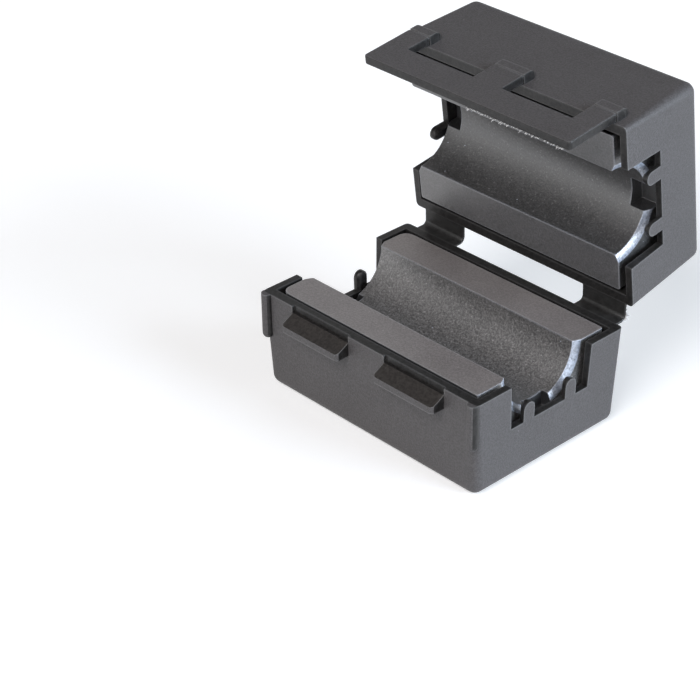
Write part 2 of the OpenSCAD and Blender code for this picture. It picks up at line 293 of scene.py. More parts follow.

# %% [markdown]
# ## Surface effects that the finishes share
#
# Moulded nylon and ground ferrite both have a fine grain, a slow drift in tone and paler edges,
# partly worn and partly a painted highlight where an edge catches the light. Each effect is a node
# group with named inputs, so that the same group gives a coarse grain on one finish and a fine one
# on another. A group gives out only masks and heights, and the shader stays in the material.

# %% Group helper
def new_group(name, inputs, outputs):
    """A shader node group with float inputs, given with their values, and float outputs."""
    group = bpy.data.node_groups.new(name, "ShaderNodeTree")
    for label, value in inputs.items():
        socket = group.interface.new_socket(label, in_out="INPUT", socket_type="NodeSocketFloat")
        socket.default_value = value
    for label in outputs:
        group.interface.new_socket(label, in_out="OUTPUT", socket_type="NodeSocketFloat")
    return group, group.nodes.new("NodeGroupInput"), group.nodes.new("NodeGroupOutput")


def in_millimetres(tree):
    """Object coordinates, counted in millimetres."""
    where = tree.nodes.new("ShaderNodeTexCoord")
    scale = tree.nodes.new("ShaderNodeVectorMath")
    scale.operation = "SCALE"
    scale.inputs["Scale"].default_value = 1 / MM
    tree.links.new(where.outputs["Object"], scale.inputs[0])
    return scale.outputs[0]


def noise_node(tree, vector, scale, detail, roughness):
    """A noise texture. Its vector and its scale are sockets."""
    node = tree.nodes.new("ShaderNodeTexNoise")
    node.inputs["Detail"].default_value = detail
    node.inputs["Roughness"].default_value = roughness
    tree.links.new(vector, node.inputs["Vector"])
    tree.links.new(scale, node.inputs["Scale"])
    return node.outputs[0]


# %% Grain: fine relief, and the odd paler grain in it
TONE_CONTRAST = 5                        # how sharply the relief parts dark from light
PALE_SCALE = 0.83                        # the pale grains are a little larger than the relief
PALE_START, PALE_SPREAD, PALE_FADE = 0.78, 0.4, 0.14     # a larger share starts them lower
grain_group, given, result = new_group("fine_grain", {"Grain mm": 0.3, "Pale share": 0.3},
                                       ["Height", "Tone", "Pale"])
where = in_millimetres(grain_group)
scale = math_node(grain_group, "DIVIDE", 1.0, given.outputs["Grain mm"])
height = noise_node(grain_group, where, scale, detail=3, roughness=0.6)
larger = math_node(grain_group, "MULTIPLY", scale, PALE_SCALE)
coarse = noise_node(grain_group, where, larger, detail=2, roughness=0.7)
tone = math_node(grain_group, "MULTIPLY_ADD", height, TONE_CONTRAST, 0.5 - TONE_CONTRAST / 2,
                 clamp=True)
spread = math_node(grain_group, "MULTIPLY", given.outputs["Pale share"], PALE_SPREAD)
start = math_node(grain_group, "SUBTRACT", PALE_START, spread)
above = math_node(grain_group, "SUBTRACT", coarse, start)
pale = math_node(grain_group, "DIVIDE", above, PALE_FADE, clamp=True)
grain_group.links.new(height, result.inputs["Height"])
grain_group.links.new(tone, result.inputs["Tone"])
grain_group.links.new(pale, result.inputs["Pale"])

# %% Drift: slow change of tone over millimetres
drift_group, given, result = new_group("tone_drift", {"Patch mm": 6.0}, ["Drift"])
where = in_millimetres(drift_group)
scale = math_node(drift_group, "DIVIDE", 1.0, given.outputs["Patch mm"])
slow = noise_node(drift_group, where, scale, detail=3, roughness=0.55)
drift_group.links.new(slow, result.inputs["Drift"])

# %% Pale edges, worn and painted highlight: thin corners, where a short look inwards soon meets the outside again
WEAR_HIGHLIGHT_CONTRAST, LOOKS = 3.0, 8             # how sharply the pale edge ends, and rays for each look
rub_group, given, result = new_group("rubbed_edges", {"Reach mm": 0.3, "Solid share": 0.85},
                                     ["Rubbed"])
inside = rub_group.nodes.new("ShaderNodeAmbientOcclusion")
inside.inside, inside.only_local, inside.samples = True, True, LOOKS
reach = math_node(rub_group, "MULTIPLY", given.outputs["Reach mm"], MM)
rub_group.links.new(reach, inside.inputs["Distance"])
thinness = math_node(rub_group, "SUBTRACT", given.outputs["Solid share"], inside.outputs["AO"])
rub_group.links.new(math_node(rub_group, "MULTIPLY", thinness, WEAR_HIGHLIGHT_CONTRAST, clamp=True),
                    result.inputs["Rubbed"])

# %% Specks: a few grains of dust and pale chips
speck_group, given, result = new_group("pale_specks", {"Apart mm": 1.5, "Size": 0.06}, ["Speck"])
where = in_millimetres(speck_group)
cells = speck_group.nodes.new("ShaderNodeTexVoronoi")
speck_group.links.new(where, cells.inputs["Vector"])
speck_group.links.new(math_node(speck_group, "DIVIDE", 1.0, given.outputs["Apart mm"]),
                      cells.inputs["Scale"])
speck = math_node(speck_group, "LESS_THAN", cells.outputs["Distance"], given.outputs["Size"])
speck_group.links.new(speck, result.inputs["Speck"])
print("groups:", [group.name for group in (grain_group, drift_group, rub_group, speck_group)])

# %% [markdown]
# ## Finishes
#
# The mould of the case is sparked to a fine grain outside and polished inside, so the same nylon
# looks grey on its outer walls and nearly black on its rims and pockets: the polished nylon is
# glossier, and its colour is also made far darker, as painted shade for the rims, pockets and slots
# and the sides of the knuckles and ribs. The slopes of the catches are polished too, but scuffed
# by the flap. The ferrite is ground on its mating face, and left as pressed in its channel and on
# its ends. The lid's ferrite takes darker copies of both finishes, as painted shade, since its
# inside lies in the flap's shade. The bevels at its mouths are painted pale and bluish, a painted
# highlight of the right light, and its sides and notches, which lie deep in the case, are painted
# nearly black, as painted shade. Each could be a shader of its own, but all of them are dielectrics
# that differ only in colour, gloss, roughness and relief. So one function builds them all from the
# shared groups, and each finish is a call with its own values.

# %% Colours and groups in a material
COLOUR_A, COLOUR_B, COLOUR_OUT = 6, 7, 2     # where a Mix node keeps its colour sockets


def place_group(tree, group, **values):
    """A group's node, with values for its inputs; _ stands for a space in a name."""
    node = tree.nodes.new("ShaderNodeGroup")
    node.node_tree = group
    for label, value in values.items():
        node.inputs[label.replace("_", " ")].default_value = value
    return node


def mix_colour(tree, share, first, second):
    """A blend of two colours, each an RGB triple or a socket."""
    node = tree.nodes.new("ShaderNodeMix")
    node.data_type = "RGBA"
    tree.links.new(share, node.inputs["Factor"])
    for socket, value in ((node.inputs[COLOUR_A], first), (node.inputs[COLOUR_B], second)):
        if isinstance(value, tuple):
            socket.default_value = (*value, 1)
        else:
            tree.links.new(value, socket)
    return node.outputs[COLOUR_OUT]


# %% A finish from the shared effects
SOLID_SHARE = 0.85                       # thinner than this counts as an edge
SPECKS_APART, SPECK_SIZE = 2.5, 0.03     # millimetres, and a share of that
SPECK_SHARE = 0.9                        # how much of the colour a speck covers
UNEVEN = 0.2                             # how much the roughness varies


def finish(name, dark, light, pale, rubbed, roughness, ior, grain, pale_share, relief, patch=6.0,
           grain_share=0.5, rub=0.6, reach=0.3, gloss=0.5):
    """One finish: grained tone that drifts, pale grains, edges of wear and painted highlight, fine
    relief.
    """
    material, tree, output = new_material(name)
    shader = tree.nodes.new("ShaderNodeBsdfPrincipled")
    tree.links.new(shader.outputs[0], output.inputs["Surface"])
    grains = place_group(tree, grain_group, Grain_mm=grain, Pale_share=pale_share)
    drift = place_group(tree, drift_group, Patch_mm=patch)
    edges = place_group(tree, rub_group, Reach_mm=reach, Solid_share=SOLID_SHARE)
    specks = place_group(tree, speck_group, Apart_mm=SPECKS_APART, Size=SPECK_SIZE)
    fine = math_node(tree, "MULTIPLY", grains.outputs["Tone"], grain_share)
    tone = math_node(tree, "MULTIPLY_ADD", drift.outputs["Drift"], 1 - grain_share, fine)
    colour = mix_colour(tree, tone, dark, light)
    colour = mix_colour(tree, grains.outputs["Pale"], colour, pale)
    # pale edges: partly wear, partly a painted highlight; the same pale colour paints the dust
    # specks
    wear_and_highlight_share = math_node(tree, "MULTIPLY", edges.outputs["Rubbed"], rub)
    colour = mix_colour(tree, wear_and_highlight_share, colour, rubbed)
    dust = math_node(tree, "MULTIPLY", specks.outputs["Speck"], SPECK_SHARE)
    tree.links.new(mix_colour(tree, dust, colour, rubbed), shader.inputs["Base Color"])
    varied = math_node(tree, "MULTIPLY_ADD", grains.outputs["Height"], UNEVEN,
                       roughness - UNEVEN / 2)
    tree.links.new(varied, shader.inputs["Roughness"])
    shader.inputs["IOR"].default_value = ior
    shader.inputs["Specular IOR Level"].default_value = gloss
    bump = tree.nodes.new("ShaderNodeBump")
    bump.inputs["Strength"].default_value = 1
    bump.inputs["Distance"].default_value = relief * MM
    tree.links.new(grains.outputs["Height"], bump.inputs["Height"])
    tree.links.new(bump.outputs[0], shader.inputs["Normal"])
    return material


# %% Nylon
NYLON_IOR = 1.53
grained_nylon = finish("grained_nylon", dark=(0.048, 0.044, 0.044), light=(0.096, 0.09, 0.092),
                       pale=(0.15, 0.145, 0.145), rubbed=(0.19, 0.19, 0.19), roughness=0.56,
                       ior=NYLON_IOR, grain=0.19, pale_share=0.3, relief=0.05, grain_share=0.65)
# glossier than the grained nylon, and far darker: painted shade for rims, pockets, slots and the
# sides of knuckles and ribs
polished_nylon_painted_shade = finish("polished_nylon_painted_shade", dark=(0.008, 0.008, 0.008), light=(0.034, 0.032, 0.031),
                        pale=(0.05, 0.05, 0.05), rubbed=(0.09, 0.09, 0.09), roughness=0.33,
                        ior=NYLON_IOR, grain=0.4, pale_share=0.2, relief=0.015, gloss=0.3)
# its edges get a strong pale rim: wear and a painted highlight along the lip
catch_nylon = finish("catch_nylon", dark=(0.018, 0.0155, 0.0145), light=(0.05, 0.044, 0.04),
                     pale=(0.09, 0.085, 0.08), rubbed=(0.3, 0.3, 0.3), roughness=0.4,
                     ior=NYLON_IOR, grain=0.3, pale_share=0.2, relief=0.02, rub=0.8, reach=0.2)
# the straps' nylon: dark and light in soft patches under a millimetre across
strap_nylon = finish("strap_nylon", dark=(0.003, 0.003, 0.003), light=(0.045, 0.044, 0.043),
                      pale=(0.05, 0.05, 0.05), rubbed=(0.05, 0.05, 0.05), roughness=0.38,
                      ior=NYLON_IOR, grain=0.3, pale_share=0.1, relief=0.01, patch=0.9,
                      grain_share=0.15, rub=0, gloss=0.4)
torn_nylon = finish("torn_nylon", dark=(0.3, 0.3, 0.31), light=(0.6, 0.6, 0.6),
                    pale=(0.7, 0.7, 0.7), rubbed=(0.75, 0.75, 0.75), roughness=0.4,
                    ior=NYLON_IOR, grain=0.1, pale_share=0.4, relief=0.01)
print("nylon:", [material.name for material in (
    grained_nylon, polished_nylon_painted_shade, catch_nylon, strap_nylon, torn_nylon)])

# %% Ferrite
FERRITE_IOR, FERRITE_RELIEF = 2.2, 0.04


def ferrite(name, dark, light, pale, rubbed, roughness=0.4, grain=0.2, pale_share=0.5, **others):
    """A finish of ferrite, which reflects more than plastic does."""
    return finish(name, dark, light, pale, rubbed, roughness, FERRITE_IOR, grain, pale_share,
                  relief=FERRITE_RELIEF, **others)


ground_warm = ferrite("ground_ferrite_warm", dark=(0.085, 0.073, 0.07), light=(0.27, 0.243, 0.235),
                      pale=(0.33, 0.3, 0.29), rubbed=(0.4, 0.4, 0.41), roughness=0.38,
                      pale_share=0.35, patch=8.0, grain_share=0.4)
# darker copies for the lid's ferrite: painted shade, since its inside lies in the shade of the flap
ground_painted_shade = ferrite("ground_ferrite_painted_shade", dark=(0.022, 0.022, 0.024), light=(0.14, 0.137, 0.14),
                      pale=(0.2, 0.195, 0.2), rubbed=(0.35, 0.36, 0.39), roughness=0.34,
                      pale_share=0.35, patch=8.0, grain_share=0.4)
pressed_warm = ferrite("pressed_ferrite_warm", dark=(0.008, 0.008, 0.008),
                       light=(0.19, 0.182, 0.178), pale=(0.3, 0.29, 0.285),
                       rubbed=(0.42, 0.45, 0.52), grain_share=0.6)
pressed_painted_shade = ferrite("pressed_ferrite_painted_shade", dark=(0.003, 0.003, 0.003),
                       light=(0.055, 0.053, 0.053), pale=(0.15, 0.145, 0.145),
                       rubbed=(0.42, 0.45, 0.52), grain_share=0.6)
# the mouths' bevels, painted pale and bluish: a painted highlight of the cool right light
mouth_painted_highlight = ferrite("mouth_painted_highlight", dark=(0.2, 0.225, 0.27), light=(0.5, 0.545, 0.64),
                        pale=(0.65, 0.68, 0.78), rubbed=(0.7, 0.73, 0.82), roughness=0.3,
                        grain=0.3, grain_share=0.6)
# nearly black: painted shade for the ferrite's sides and notches, which lie deep in the case
painted_shade_ferrite = ferrite("painted_shade_ferrite", dark=(0.002, 0.002, 0.002), light=(0.02, 0.02, 0.022),
                         pale=(0.05, 0.05, 0.055), rubbed=(0.2, 0.21, 0.24), roughness=0.45,
                         pale_share=0.2, rub=0.3)
print("ferrite:", [material.name for material in (
    ground_warm, ground_painted_shade, pressed_warm, pressed_painted_shade, mouth_painted_highlight, painted_shade_ferrite)])

# %% [markdown]
# ## Tools for moulded shapes
#
# A moulded part is mostly outlines with draft: walls that lean, pockets that narrow, ribs that
# end in a dome. All of these are lofts, a row of rings with a skin between them. Lofts are then
# joined and cut with exact booleans, and at the end one bevel gives every sharp edge the small
# radius of the mould. A bevel after the booleans also rounds the edges that the cuts have made.

# %% Rings, and how finishes are told apart
OUTSIDE, INSIDE, EXTRA, PAINTED_SHADE = range(4)     # which of a piece's finishes a face takes
QUARTERS = ((1, 1), (-1, 1), (-1, -1), (1, -1))
CORNER_STEPS = 8
WELD, SLIVER = 1e-4, 1e-5                     # nearer points and narrower faces are merged


def rounded_ring(half_x, half_y, radius, z):
    """A rectangle with round corners, seen from above."""
    points = []
    for quarter, (sign_x, sign_y) in enumerate(QUARTERS):
        for step in range(CORNER_STEPS + 1):
            turn = math.radians(90 * (quarter + step / CORNER_STEPS))
            points.append(Vector((sign_x * (half_x - radius) + radius * math.cos(turn),
                                  sign_y * (half_y - radius) + radius * math.sin(turn), z)))
    return points

# %% Lofts
def to_piece(name, bm, looks):
    """A new object from an edited mesh, with empty places for its finishes."""
    bmesh.ops.recalc_face_normals(bm, faces=bm.faces)
    mesh = bpy.data.meshes.new(name)
    for _ in range(looks):
        mesh.materials.append(None)
    bm.to_mesh(mesh)
    bm.free()
    piece = bpy.data.objects.new(name, mesh)
    bpy.context.collection.objects.link(piece)
    return piece


def loft(name, rings, look=INSIDE):
    """A closed solid through rings of points that all have the same count."""
    bm = bmesh.new()
    loops = [[bm.verts.new(point) for point in ring] for ring in rings]
    for one, two in zip(loops, loops[1:]):
        for i in range(len(one)):
            j = (i + 1) % len(one)
            bm.faces.new((one[i], one[j], two[j], two[i]))
    bm.faces.new(loops[0])
    bm.faces.new(loops[-1])
    bmesh.ops.remove_doubles(bm, verts=bm.verts, dist=WELD)
    bmesh.ops.dissolve_degenerate(bm, edges=bm.edges, dist=SLIVER)
    for face in bm.faces:
        face.material_index = look
    return to_piece(name, bm, looks=PAINTED_SHADE + 1)


def paint(piece, look, picked):
    """Gives one look to the faces that a test picks."""
    for face in piece.data.polygons:
        if picked(face):
            face.material_index = look
    return piece


# %% Straight solids, arcs and moves
def along(axis, outline, low, high, look=INSIDE):
    """A straight solid: an outline drawn in the other two axes, from low to high along one."""
    spots = {"x": lambda p, s: Vector((s, p[0], p[1])), "y": lambda p, s: Vector((p[0], s, p[1])),
             "z": lambda p, s: Vector((p[0], p[1], s))}[axis]
    return loft("straight", [[spots(p, s) for p in outline] for s in (low, high)], look)


def block(low, high, look=INSIDE):
    """A box between two corners."""
    outline = [(low[0], low[1]), (high[0], low[1]), (high[0], high[1]), (low[0], high[1])]
    return along("z", outline, low[2], high[2], look)


def turned(piece, matrix):
    """The piece, moved by a matrix; a mirrored one keeps its faces pointing outwards."""
    piece.data.transform(matrix)
    if matrix.determinant() < 0:
        piece.data.flip_normals()
    return piece


def arc(centre, radius, start, end, steps):
    """Points of an arc, with angles in degrees."""
    turns = [math.radians(start + (end - start) * i / steps) for i in range(steps + 1)]
    return [(centre[0] + radius * math.cos(t), centre[1] + radius * math.sin(t)) for t in turns]


# %% Joining and cutting
PAST = 1          # how far a solid that cuts reaches past what it cuts
NEAR = 0.01       # a face nearer than this to a plane counts as in it


def settle(piece):
    """Turns a piece's modifiers into plain mesh."""
    graph = bpy.context.evaluated_depsgraph_get()
    mesh = bpy.data.meshes.new_from_object(piece.evaluated_get(graph))
    piece.modifiers.clear()
    piece.data = mesh
    return piece


def combine(piece, how, others):
    """Joins or cuts a piece with others, which are used up."""
    for other in others:
        change = piece.modifiers.new(how, "BOOLEAN")
        change.operation, change.solver, change.object = how, "EXACT", other
    settle(piece)
    for other in others:
        bpy.data.objects.remove(other)
    return piece


def both_ends(make):
    """A made piece at +X and its mirror image at -X."""
    return [make(), turned(make(), Matrix.Diagonal((-1, 1, 1, 1)))]


# %% Small radii on the sharp edges
MOULD_RADIUS, FLAP_RADIUS, FERRITE_RADIUS = 0.1, 0.12, 0.08
SHARP, FLAT = math.radians(32), math.radians(0.5)     # how much an edge turns
BEVEL_STEPS = 2


def soften(piece, width):
    """Melts edges between flat faces away, and gives every sharp edge a small radius."""
    bm = bmesh.new()
    bm.from_mesh(piece.data)
    bmesh.ops.remove_doubles(bm, verts=bm.verts, dist=2 * WELD)
    bmesh.ops.dissolve_limit(bm, angle_limit=FLAT, verts=bm.verts, edges=bm.edges,
                             delimit={"MATERIAL"})
    bm.to_mesh(piece.data)
    bm.free()
    edge = piece.modifiers.new("mould_radius", "BEVEL")
    edge.limit_method, edge.angle_limit = "ANGLE", SHARP
    edge.width, edge.segments, edge.use_clamp_overlap = width, BEVEL_STEPS, True
    edge.miter_outer = "MITER_ARC"
    return settle(piece)


# %% Placing a piece
def dress(piece, name, place, finishes, replaced):
    """Puts a finished piece in its place in metres and gives it its finishes."""
    piece.name = name
    turned(piece, Matrix.Scale(MM, 4) @ place)
    for polygon in piece.data.polygons:
        polygon.use_smooth = True
    while len(piece.data.materials) > len(finishes):
        piece.data.materials.pop()
    for look, surface in enumerate(finishes):
        piece.data.materials[look] = surface
    even = piece.modifiers.new("even_normals", "WEIGHTED_NORMAL")
    even.keep_sharp = True
    if replaced:
        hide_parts(*replaced)
    print(name, "faces:", len(piece.data.polygons))
    return piece


def fit(piece, name, place, body, finishes, replaced=()):
    """A dressed piece that rides on one body."""
    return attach(dress(piece, name, place, finishes, replaced), body)


# %% [markdown]
# ## The two case halves
#
# Both halves come from the same kind of mould: a box with leaning walls and a soft edge round its
# floor, a pocket for the ferrite, a slot in each end wall with two fingers that grip the cable,
# and two windows in the floor with a spring tongue that presses on the ferrite. The body is one
# loft, and everything else is cut out of it. The faces that the mould's polished core has made
# are the ones that the cuts leave, so the cutting solids carry the polished finish and its painted
# shade.

# %% Outside of a half
END_LEAN, SIDE_LEAN = 0.32, 0.16         # draft of the walls over their height
FLOOR_EDGE, CORNER = 1.2, 0.5            # radii


def half_body():
    """The outside of a half as a full solid, with a polished rim in painted shade."""
    rings = [rounded_ring(end_x, side_y, CORNER, rim)]
    for step in range(CORNER_STEPS + 1):
        turn = math.radians(90 * step / CORNER_STEPS)
        shrink = FLOOR_EDGE * (1 - math.cos(turn))
        rings.append(rounded_ring(end_x - END_LEAN - shrink, side_y - SIDE_LEAN - shrink,
                                  FLOOR_EDGE * math.cos(turn),
                                  FLOOR_EDGE * (1 - math.sin(turn)) - mating_z))
    body = loft("case_half", rings, OUTSIDE)
    return paint(body, INSIDE, lambda face: face.center.z > rim - NEAR)


def cavity():
    """The pocket for the ferrite, which widens towards the rim."""
    rings = []
    for z in (cavity_floor, PAST):
        spread = CAVITY_LEAN * (z - cavity_floor) / -cavity_floor
        x, y = cavity_end + spread, cavity_side + spread
        rings.append([Vector((sign_x * x, sign_y * y, z)) for sign_x, sign_y in QUARTERS])
    return loft("cavity", rings)


# %% End slot and its fingers
SLOT_LOW, SLOT_HIGH, SLOT_BOTTOM = 5.8, 6.1, -5.3      # half widths below and above, and height
FINGER_APART, FINGER_W, FINGER_H, FINGER_T, FINGER_CHAMFER = 6.3, 1.6, 2.2, 0.95, 0.35
TIP_TURNS = (0, 20, 38, 54, 68, 80)      # degrees round the tip, from its shoulder upwards
TIP_LEAN, TIP_CHAMFER = 0.3, 0.6         # shares of the half width that is lost, and that is left


def finger(side):
    """A cable finger: flush outside, chamfered inside, with a tip like a bullet."""
    radius = FINGER_W / 2
    heights = [SLOT_BOTTOM - PAST] + [
        SLOT_BOTTOM + FINGER_H - radius + radius * math.sin(math.radians(a)) for a in TIP_TURNS]
    rings = []
    for z in heights:
        rise = max(0.0, z - (SLOT_BOTTOM + FINGER_H - radius))
        half = math.sqrt(max(radius ** 2 - rise ** 2, 0.0))
        inner = end_x - FINGER_T + TIP_LEAN * (radius - half)
        chamfer = min(FINGER_CHAMFER, TIP_CHAMFER * half)
        middle = side * FINGER_APART / 2
        rings.append([Vector((x, middle + y, z)) for x, y in (
            (end_x + 2 * PAST, -half), (end_x + 2 * PAST, half), (inner + chamfer, half),
            (inner, half - chamfer), (inner, chamfer - half), (inner + chamfer, -half))])
    return loft("finger", rings)


def end_slot():
    """What is cut out of an end wall: all but the two fingers."""
    outline = [(-SLOT_LOW, SLOT_BOTTOM), (SLOT_LOW, SLOT_BOTTOM),
               (SLOT_HIGH, PAST), (-SLOT_HIGH, PAST)]
    slot = along("x", outline, cavity_end - PAST, end_x + PAST)
    return combine(slot, "DIFFERENCE", [finger(-1), finger(1)])


# %% Window with its spring tongue
WINDOW_INSET, WINDOW_LEN = 0.2, 6.8
TONGUE_LEN, TONGUE_W, TONGUE_T, TONGUE_TIP = 5.1, 5.2, 0.8, 1.5
TONGUE_SLOT, TONGUE_LEDGE = 0.45, 0.25


def tongue_cuts():
    """What is cut out of the floor: a shallow pocket from outside, and a gap round the tongue."""
    root = cavity_end - WINDOW_INSET - WINDOW_LEN
    pocket = TONGUE_W / 2 + TONGUE_SLOT + TONGUE_LEDGE
    through = TONGUE_W / 2 + TONGUE_SLOT
    under, tip, half = -mating_z - PAST, root + TONGUE_LEN, TONGUE_W / 2
    shallow = block((root, -pocket, under),
                    (root + WINDOW_LEN, pocket, FLOOR - TONGUE_T - mating_z))
    gap = block((root, -through, under), (root + WINDOW_LEN, through, cavity_floor + PAST))
    outline = [(root - PAST, -half)]
    outline += arc((tip - TONGUE_TIP, TONGUE_TIP - half), TONGUE_TIP, -90, 0, CORNER_STEPS)
    outline += arc((tip - TONGUE_TIP, half - TONGUE_TIP), TONGUE_TIP, 0, 90, CORNER_STEPS)
    outline += [(root - PAST, half)]
    combine(gap, "DIFFERENCE", [along("z", outline, under - PAST, cavity_floor + 2 * PAST)])
    return combine(shallow, "UNION", [gap])


# %% What both halves share
def case_half():
    """A half with its pocket, slots and windows, below its mating plane."""
    return combine(half_body(), "DIFFERENCE",
                   [cavity()] + both_ends(end_slot) + both_ends(tongue_cuts))


# %% [markdown]
# ## Lower half
#
# The lower half adds what the flap works on: two catches with a hollow sloping top and a flat
# underside, a shallow recess in the wall above each, and a guard rib at each front corner that
# keeps the flap from being knocked sideways. A catch could be a box with a bevel, but its slope is
# hollow, so it is a loft too, of rings that follow the hollow and narrow to a chamfer at each end.

# %% Catch and recess
BITE = 0.3                                # how far an added feature reaches into its wall
CATCH_CHAMFER, RECESS, HOLLOW = 0.3, 0.3, 0.06
HOLLOW_AT = (0.25, 0.5, 0.75)             # where rings follow the hollow, as shares of the slope
STEEP = 0.5                               # how far a face's normal points one way


def catch():
    """The catch at +X, with a scuffed slope, a grained lip and a polished underside in painted
    shade.
    """
    rings = []
    for x, out in ((-catch_len / 2, CATCH_OUT - CATCH_CHAMFER),
                   (-catch_len / 2 + CATCH_CHAMFER, CATCH_OUT),
                   (catch_len / 2 - CATCH_CHAMFER, CATCH_OUT),
                   (catch_len / 2, CATCH_OUT - CATCH_CHAMFER)):
        fall = CATCH_SLOPE * out / CATCH_OUT
        ring = [(BITE, -CATCH_TOP), (0, -CATCH_TOP)]
        ring += [(-out * s, -CATCH_TOP - fall * s - HOLLOW * math.sin(math.pi * s))
                 for s in HOLLOW_AT]
        ring += [(-out, -CATCH_TOP - fall), (-out, catch_low), (BITE, catch_low)]
        rings.append([Vector((catch_x + x, y - side_y, z)) for y, z in ring])
    piece = paint(loft("catch", rings), OUTSIDE, lambda face: face.normal.y < -STEEP)
    return paint(piece, EXTRA, lambda face: face.normal.z > STEEP)


def recess():
    """What is cut out of the wall above a catch."""
    return block((catch_x - catch_len / 2, -side_y - PAST, -CATCH_TOP),
                 (catch_x + catch_len / 2, RECESS - side_y, PAST))


# %% Guard rib
RIB_R, RIB_LEN = 0.65, 5.6
RIB_STEPS, DOME_STEPS, DOME_TIP = 24, 6, 0.01
SIDEWAYS = 0.75                           # how far a face's normal points along X


def rib():
    """The rib at +X: half a rod on the wall, from the rim down to a dome."""
    rings = [(RIB_R, rim)]
    for step in range(DOME_STEPS + 1):
        turn = math.radians(90 * step / DOME_STEPS)
        rings.append((max(RIB_R * math.cos(turn), DOME_TIP),
                      rim - RIB_LEN + RIB_R * (1 - math.sin(turn))))
    piece = loft("rib", [[Vector((x, y, z)) for x, y in arc(
        (end_x - RIB_R, -side_y), radius, 0, 360, RIB_STEPS)[:-1]] for radius, z in rings], OUTSIDE)
    # the rib's sides take the polished nylon, whose darker colour is painted shade, so the rib
    # stands out
    return paint(piece, INSIDE, lambda face: abs(face.normal.x) > SIDEWAYS)


# %% Build the lower half
lower_shell = case_half()
combine(lower_shell, "DIFFERENCE", both_ends(recess))
combine(lower_shell, "UNION", both_ends(catch) + both_ends(rib))
soften(lower_shell, MOULD_RADIUS)
fit(lower_shell, "lower_shell", lower_place, "lower",
    [grained_nylon, polished_nylon_painted_shade, catch_nylon], ["lower_case"])

# %% [markdown]
# ## Lid
#
# The lid is the same half turned over, with three knuckles on its front wall, which carry the
# flap. Each is shaped like a half-buried tablet: an upright face at the fold, which leans back into
# the wall and narrows towards its top. A loft of four-cornered rings follows both curves at once.

# %% Knuckles
KNUCKLE_H, KNUCKLE_SLOPE, KNUCKLE_STEPS = 1.0, 1.25, 8
NARROWS, NARROW_LATE, LEAN_LATE = 0.9, 3, 1.5      # how much it narrows, and how late both turn
KNUCKLE_SIDE = 0.7                       # how far a face's normal points along X


def knuckle(middle, width):
    """A knuckle of the lid, whose sides are polished and in painted shade."""
    low = FOLD_H + FOLD_GAP / 2
    half, out = width / 2, flap_out - side_y
    rings = [[Vector((middle + x, y - side_y, low)) for x, y in (
        (-half, BITE), (half, BITE), (half, -out), (-half, -out))]]
    for step in range(KNUCKLE_STEPS + 1):
        t = step / KNUCKLE_STEPS
        narrow, lean = half - NARROWS * t ** NARROW_LATE, out * (1 - t ** LEAN_LATE)
        z = low + KNUCKLE_H + KNUCKLE_SLOPE * t
        rings.append([Vector((middle + x, y - side_y, z)) for x, y in (
            (-narrow, BITE), (narrow, BITE), (narrow, -lean), (-narrow, -lean))])
    piece = loft("knuckle", rings, OUTSIDE)
    return paint(piece, INSIDE, lambda face: abs(face.normal.x) > KNUCKLE_SIDE)


# %% Build the lid
upper_shell = turned(case_half(), turned_over)
combine(upper_shell, "UNION",
        both_ends(lambda: knuckle(arm_x, ARM_W)) + [knuckle(0, MIDDLE_ARM_W)])
soften(upper_shell, MOULD_RADIUS)
fit(upper_shell, "upper_shell", upper_place, "upper",
    [grained_nylon, polished_nylon_painted_shade], ["upper_case"])

# %% [markdown]
# ## Latch flap
#
# The flap is a plate with two windows that snap over the catches. It could be cut from a block, but
# its outline is drawn once, as on a maker's drawing, and given its thickness. The mould parts
# along its edges, so its outer face is grained and its edges are polished, in painted shade.

# %% Flap
FLAP_CORNER, FLAP_CORNER_STEPS = 0.45, 6


def flap():
    """The plate of the flap: three arms, two windows and a bar with round lower corners."""
    r, top = FLAP_CORNER, FOLD_H - FOLD_GAP / 2
    outline = arc((r - flap_end, bar_low + r), r, 180, 270, FLAP_CORNER_STEPS)
    outline += arc((flap_end - r, bar_low + r), r, 270, 360, FLAP_CORNER_STEPS)
    outline += [(flap_end, top), (window_end, top), (window_end, bar_top),
                (MIDDLE_ARM_W / 2, bar_top), (MIDDLE_ARM_W / 2, top), (-MIDDLE_ARM_W / 2, top),
                (-MIDDLE_ARM_W / 2, bar_top), (-window_end, bar_top), (-window_end, top),
                (-flap_end, top)]
    plate = along("y", outline, -flap_out, -flap_in)
    return paint(plate, OUTSIDE, lambda face: face.center.y < NEAR - flap_out)


latch_flap = soften(flap(), FLAP_RADIUS)
fit(latch_flap, "latch_plate", upper_place, "latch",
    [grained_nylon, polished_nylon_painted_shade], ["latch_flap"])

# %% [markdown]
# ## Torn flash
#
# Where the two mould halves meet, a little nylon squeezes out as a thin skin. It tears off when
# the part is handled and leaves a ragged white fringe: on this flap along one half of its free
# edge, and on the right strap, which frays along its bend. Bump could only fake it within the
# surface, so a fringe is real geometry: a row of thin three-cornered flakes. Each has its own
# width, length, lean and place, and most are short, so that the edge looks torn and not like a
# comb. The random numbers start from a fixed seed, so every run tears the edge in the same way.

# %% A ragged fringe
FLAKE_WIDTHS, FLAKE_LENGTHS, FLAKE_STEPS = (0.06, 0.34), (0.3, 1.1), (0.4, 1.7)
SHORTENING, CROWDING = 3, 2              # powers, which make most flakes short and close together
FLAKE_LEANS = (0.2, 0.8)                 # where a tip lies along its root
FLAKE_T, FLAKE_ROOT = 0.03, 0.1          # half its thickness, and how deep it sits in the edge


